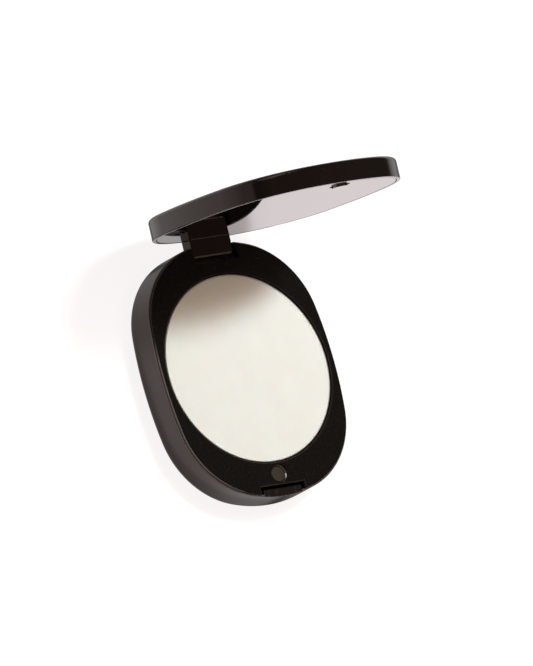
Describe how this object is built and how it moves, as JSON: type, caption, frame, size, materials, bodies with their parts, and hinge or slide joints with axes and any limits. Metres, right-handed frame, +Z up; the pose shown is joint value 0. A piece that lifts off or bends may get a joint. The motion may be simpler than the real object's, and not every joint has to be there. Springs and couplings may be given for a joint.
{
  "type": "mirror compact",
  "caption": "Rounded oval pocket compact: a hinged lid with a full mirror over a base that holds a round pan of balm, with a finger notch and a magnetic catch.",
  "frame": {"origin": "middle of the flat underside of the base", "axes": "+X along the width, +Y towards the hinge, +Z up out of the base"},
  "size_m": [0.0548, 0.0752, 0.0736],
  "materials": {
    "case_plastic": "satin black",
    "deck_plastic": "fine spark texture, matte black",
    "pan_metal": "pressed sheet, satin",
    "balm_cream": "ivory cream with a soft sheen",
    "adhesive": "matte tape",
    "cup_metal": "bright plated",
    "magnet_metal": "grey plated, satin",
    "pin_steel": "drawn wire",
    "mirror_glass": "polished, ground edge",
    "backing_plastic": "matte"
  },
  "bodies": {
    "base": {"base_shell": "case_plastic", "deck_plate": "deck_plastic", "balm_pan": "pan_metal", "balm": "balm_cream", "pan_tape": "adhesive", "magnet_cup": "cup_metal", "base_magnet": "magnet_metal", "hinge_pin": "pin_steel"},
    "lid": {"lid_shell": "case_plastic", "mirror_backing": "backing_plastic", "mirror_tape": "adhesive", "mirror": "mirror_glass", "lid_magnet": "magnet_metal"}
  },
  "joints": [
    {"name": "lid_hinge", "type": "hinge", "parent": "base", "child": "lid", "pos_m": [0, 0.0323, 0.0069], "axis": [-1, 0, 0], "range_deg": [-85, 35]}
  ]
}
